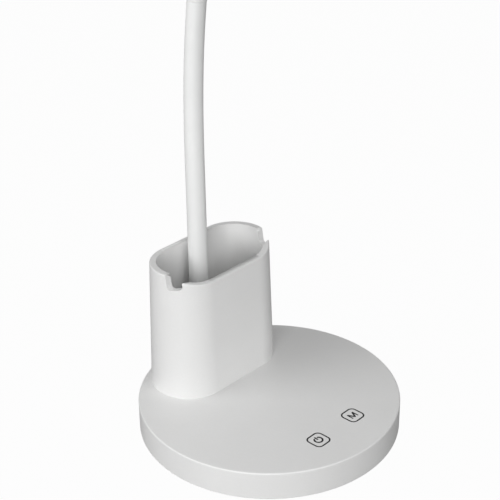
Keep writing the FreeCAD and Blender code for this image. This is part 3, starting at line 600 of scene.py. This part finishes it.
def sleeve_lengths():
    """The soft sleeve, one length to a joint: a tube from the middle of one link to the middle of the next,
    round the quadratic curve that has the joint as its control point, so its ends are square to the links.
    Each length is baked in place where it is made and is not attached to any body."""
    middles = [(near + far) / 2 for near, far in zip(pivots, pivots[1:])]
    collar = pivots[-1] + (pivots[-1] - middles[-1]).normalized() * (STEM_FOOT + SLEEVE_GAP)
    starts = [Vector((0, pivots[0].y, pivots[0].z - SLEEVE_LEAD))] + middles
    ends = middles + [collar]
    bodies = ["base"] + links
    for i, (start, pivot, end) in enumerate(zip(starts, pivots, ends)):
        t = np.linspace(0, 1, SLEEVE_RINGS)[:, None]
        a, b, c = (np.array(point) for point in (start, pivot, end))
        middle = (1 - t) ** 2 * a + 2 * t * (1 - t) * b + t ** 2 * c
        along = 2 * (1 - t) * (b - a) + 2 * t * (c - b)
        if i == 0:
            low = np.linspace(SLEEVE_FOOT, start.z, SLEEVE_FOOT_RINGS, endpoint=False)
            middle = np.concatenate([np.stack([0 * low, 0 * low + start.y, low], -1), middle])
            along = np.concatenate([np.tile((0, 0, 1.0), (len(low), 1)), along])
        risen = np.clip((middle[:, 2] - pivots[0].z) / (collar.z - pivots[0].z), 0, 1)
        rows = tube(middle, along, SLEEVE_RADIUS - SLEEVE_THINNING * risen, SLEEVE_STEPS)
        stands_for = ["neck_post", "post_sleeve"] if i == 0 else [links[i - 1]]
        piece = make_piece(f"sleeve_{i + 1:02d}", rows, grid_faces(*rows.shape[:2]), sleeve_skin, None,
                           stands_for)
        bodies[i + 1]
        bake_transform(piece)


# Stem and head

stem_lean = math.atan2(joints[-1]["axis"][2], joints[-1]["axis"][1])
stem_turn = math.pi / 2 + HEAD_DIP - stem_lean
stem_up = np.array([0, -math.sin(stem_lean), math.cos(stem_lean)])
stem_back = np.array([0, math.cos(stem_lean), math.sin(stem_lean)])
stem_origin = np.array(pivots[-1])


def stem():
    """The rigid elbow: straight up with a softly rounded foot, then round one bend into the head, its radius
    growing evenly with the bend from the collar's to that of the head's joint."""
    low = np.array([0, 0.15, 0.4, 0.7, 1.0])
    high = np.linspace(STEM_FOOT + 2 * STEM_FOOT_ROUND, STEM_STRAIGHT, 6, endpoint=False)
    straight = np.concatenate([STEM_FOOT + STEM_FOOT_ROUND * low, high])
    turn = np.linspace(0, stem_turn, STEM_RINGS)
    up = np.concatenate([straight, STEM_STRAIGHT + STEM_BEND * np.sin(turn)])
    back = np.concatenate([0 * straight, STEM_BEND * (np.cos(turn) - 1)])
    middle = stem_origin + up[:, None] * stem_up + back[:, None] * stem_back
    heading = np.concatenate([0 * straight, turn])[:, None]
    along = np.cos(heading) * stem_up - np.sin(heading) * stem_back
    radius = COLLAR_RADIUS + (STEM_RADIUS - COLLAR_RADIUS) * heading[:, 0] / stem_turn
    radius[:len(low)] -= STEM_FOOT_ROUND * (1 - np.sqrt(1 - (1 - low) ** 2))
    rows = tube(middle, along, radius, STEM_STEPS)
    make_piece("neck_elbow", rows, closed_faces(*rows.shape[:2]), stem_plastic, "head",
               ["head_stem"])


def head_place():
    """The head's frame: its origin at the stem's end, its length along -Y, dipping towards the user."""
    end = (stem_origin + (STEM_STRAIGHT + STEM_BEND * math.sin(stem_turn)) * stem_up
           + STEM_BEND * (math.cos(stem_turn) - 1) * stem_back)
    back = np.array([0, math.cos(HEAD_DIP), math.sin(HEAD_DIP)])
    up = np.array([0, -math.sin(HEAD_DIP), math.cos(HEAD_DIP)])
    return end, back, up


head_origin, head_back, head_up = head_place()

# Places in the head's own frame
HEAD_FLAT = HEAD_WIDTH / 2 - math.sqrt((HEAD_WIDTH / 2) ** 2 - STEM_RADIUS ** 2)
HEAD_MIDDLE = HEAD_FLAT - HEAD_LENGTH / 2
HEAD_TOP = HEAD_THICKNESS / 2
HEAD_SEAM = FRAME_HEIGHT - HEAD_THICKNESS / 2
HEAD_LOW = -HEAD_THICKNESS / 2


def head_rings(levels):
    """Rings of the head's outline, each with its inset and its height, cut flat where the stem meets it."""
    rings = []
    for inset, height in levels:
        line = oblong(HEAD_LENGTH / 2 - inset, max(HEAD_WIDTH / 2 - inset, 1e-5))
        y = np.minimum(line[:, 1] + HEAD_MIDDLE, 0)
        x = line[:, :1] * np.array([1.0, 0, 0])
        rings.append(head_origin + x + y[:, None] * head_back + height * head_up)
    return np.stack(rings)


def head_top():
    """The upper shell, hollow below: a quarter round shoulder, then a top that rises to its middle line by a
    shallow parabola."""
    shoulder = HEAD_TOP - HEAD_CROWN
    inside = shoulder - HEAD_WALL
    levels = [(HEAD_WIDTH / 2, inside), (HEAD_WALL + CEILING_LOOP, inside), (2 * HEAD_WALL, inside),
              (HEAD_WALL, inside - HEAD_WALL), (HEAD_WALL, HEAD_SEAM)]
    levels += [(SEAM_ROUND, HEAD_SEAM), (0, HEAD_SEAM + SEAM_ROUND), (0, HEAD_SEAM + SIDE_LOOP)]
    levels += [(HEAD_EDGE - x, z) for x, z in arc((0, shoulder - HEAD_EDGE), HEAD_EDGE, 0, 90, 14)]
    levels += [(HEAD_EDGE + (HEAD_WIDTH / 2 - HEAD_EDGE) * share, HEAD_TOP - HEAD_CROWN * (1 - share) ** 2)
               for share in (0.06, 0.15, 0.3, 0.5, 0.75, 1.0)]
    rows = head_rings(levels)
    make_piece("head_housing", rows, grid_faces(*rows.shape[:2]), housing, "head",
               ["head_shell"])


def head_rim():
    """The frame below: a quarter round outer edge, a flat border and a bevelled window with a ledge above."""
    high, ledge = HEAD_SEAM - SEAM_GAP, HEAD_SEAM - DIFFUSER_THICKNESS
    levels = [(SEAM_ROUND, high), (0, HEAD_SEAM - SEAM_DROP)]
    levels += [(FRAME_EDGE + x, z) for x, z in arc((0, HEAD_LOW + FRAME_EDGE), FRAME_EDGE, 180, 270, 7)]
    levels += [(FRAME_BORDER - WINDOW_BEVEL, HEAD_LOW), (FRAME_BORDER, HEAD_LOW + WINDOW_BEVEL),
               (FRAME_BORDER, ledge), (FRAME_BORDER - WINDOW_LEDGE, ledge),
               (FRAME_BORDER - WINDOW_LEDGE, high)]
    rows = head_rings(levels)
    make_piece("head_bezel", rows, grid_faces(*rows.shape[:2], wrap_rows=True), housing, "head",
               ["head_frame"])


def head_panel():
    """The opal panel in the window, its lower face very slightly domed by a parabola."""
    high = HEAD_SEAM - PANEL_PLAY
    low = HEAD_SEAM - DIFFUSER_THICKNESS + PANEL_PLAY
    edge = FRAME_BORDER - WINDOW_LEDGE + PANEL_PLAY
    dome = edge + PANEL_DOME
    levels = [(HEAD_WIDTH / 2, high), (edge, high), (edge, low)]
    levels += [(dome + (HEAD_WIDTH / 2 - dome) * share, low - PANEL_DOME * (1 - (1 - share) ** 2))
               for share in (0, 0.15, 0.35, 0.6, 1.0)]
    rows = head_rings(levels)
    make_piece("light_panel", rows, grid_faces(*rows.shape[:2]), opal, "head", ["diffuser"])


# Stage

def white_floor():
    """A floor that glows white to the camera, lets a little of its shading through and takes soft shadows."""
    mesh = bpy.data.meshes.new("floor")
    corners = [(x * FLOOR_REACH, y * FLOOR_REACH, 0) for x, y in ((-1, -1), (1, -1), (1, 1), (-1, 1))]
    mesh.from_pydata(corners, [], [range(4)])
    floor = bpy.data.objects.new("floor", mesh)
    bpy.context.scene.collection.objects.link(floor)
    finish = Finish("floor_white", Base_Color=(FLOOR_SHADE, FLOOR_SHADE, FLOOR_SHADE, 1), Roughness=0.9)
    seen = finish.node("ShaderNodeLightPath").outputs["Is Camera Ray"]
    glow = finish.node("ShaderNodeEmission", {"Color": (1, 1, 1, 1), "Strength": 1.0})
    share = Value(finish.tree, seen) * FLOOR_GLOW
    mixed = finish.node("ShaderNodeMixShader", {0: share, 1: finish.shader.outputs[0], 2: glow.outputs[0]})
    finish.tree.links.new(mixed.outputs[0], finish.tree.nodes["Material Output"].inputs["Surface"])
    floor.data.materials.append(finish.material)


def white_surround():
    """A surround that is white to the camera and lights the lamp with a share of that."""
    surround = bpy.data.worlds.new("surround")
    surround.use_nodes = True
    bpy.context.scene.world = surround
    tree = surround.node_tree
    seen = tree.nodes.new("ShaderNodeLightPath").outputs
    facing = Value(tree, seen["Is Camera Ray"])
    level = facing * (1.0 - SURROUND) + SURROUND
    tree.nodes["Background"].inputs["Color"].default_value = (1, 1, 1, 1)
    tree.links.new(level.socket, tree.nodes["Background"].inputs["Strength"])


def softbox(name, place, aim_height, side, power):
    """A square lamp that faces a point above the origin."""
    lamp = bpy.data.objects.new(name, bpy.data.lights.new(name, "AREA"))
    lamp.data.shape = "RECTANGLE"
    lamp.data.size = lamp.data.size_y = side
    lamp.data.energy = power
    lamp.location = place
    lamp.rotation_euler = (Vector((0, 0, aim_height)) - Vector(place)).to_track_quat("-Z", "Y").to_euler()
    bpy.context.scene.collection.objects.link(lamp)


def camera():
    """The camera, from its turn about the lamp, its rise, its roll and its place."""
    turn, rise, roll = (math.radians(angle) for angle in CAMERA_ANGLES)
    back = Vector((math.sin(turn) * math.cos(rise), -math.cos(turn) * math.cos(rise), math.sin(rise)))
    right = Vector((0, 0, 1)).cross(back).normalized()
    up = back.cross(right)
    right, up = (math.cos(roll) * right + math.sin(roll) * up, math.cos(roll) * up - math.sin(roll) * right)
    eye = bpy.data.objects.new("camera", bpy.data.cameras.new("camera"))
    eye.matrix_world = Matrix.Translation(CAMERA_PLACE) @ Matrix((right, up, back)).transposed().to_4x4()
    eye.data.sensor_width = CAMERA_SENSOR
    eye.data.lens = CAMERA_LENS
    bpy.context.scene.collection.objects.link(eye)
    bpy.context.scene.camera = eye


base_shell()
foot()
smoothed_copy("cup", "pen_cup", housing, "base")
smoothed_copy("power_inlet", "inlet_socket", inlet_plastic, "base")
button_marks()
sleeve_lengths()
stem()
head_top()
head_rim()
head_panel()
bpy.context.scene.view_settings.view_transform = "Standard"
white_floor()
white_surround()
for lamp in LAMPS:
    softbox(*lamp)
camera()
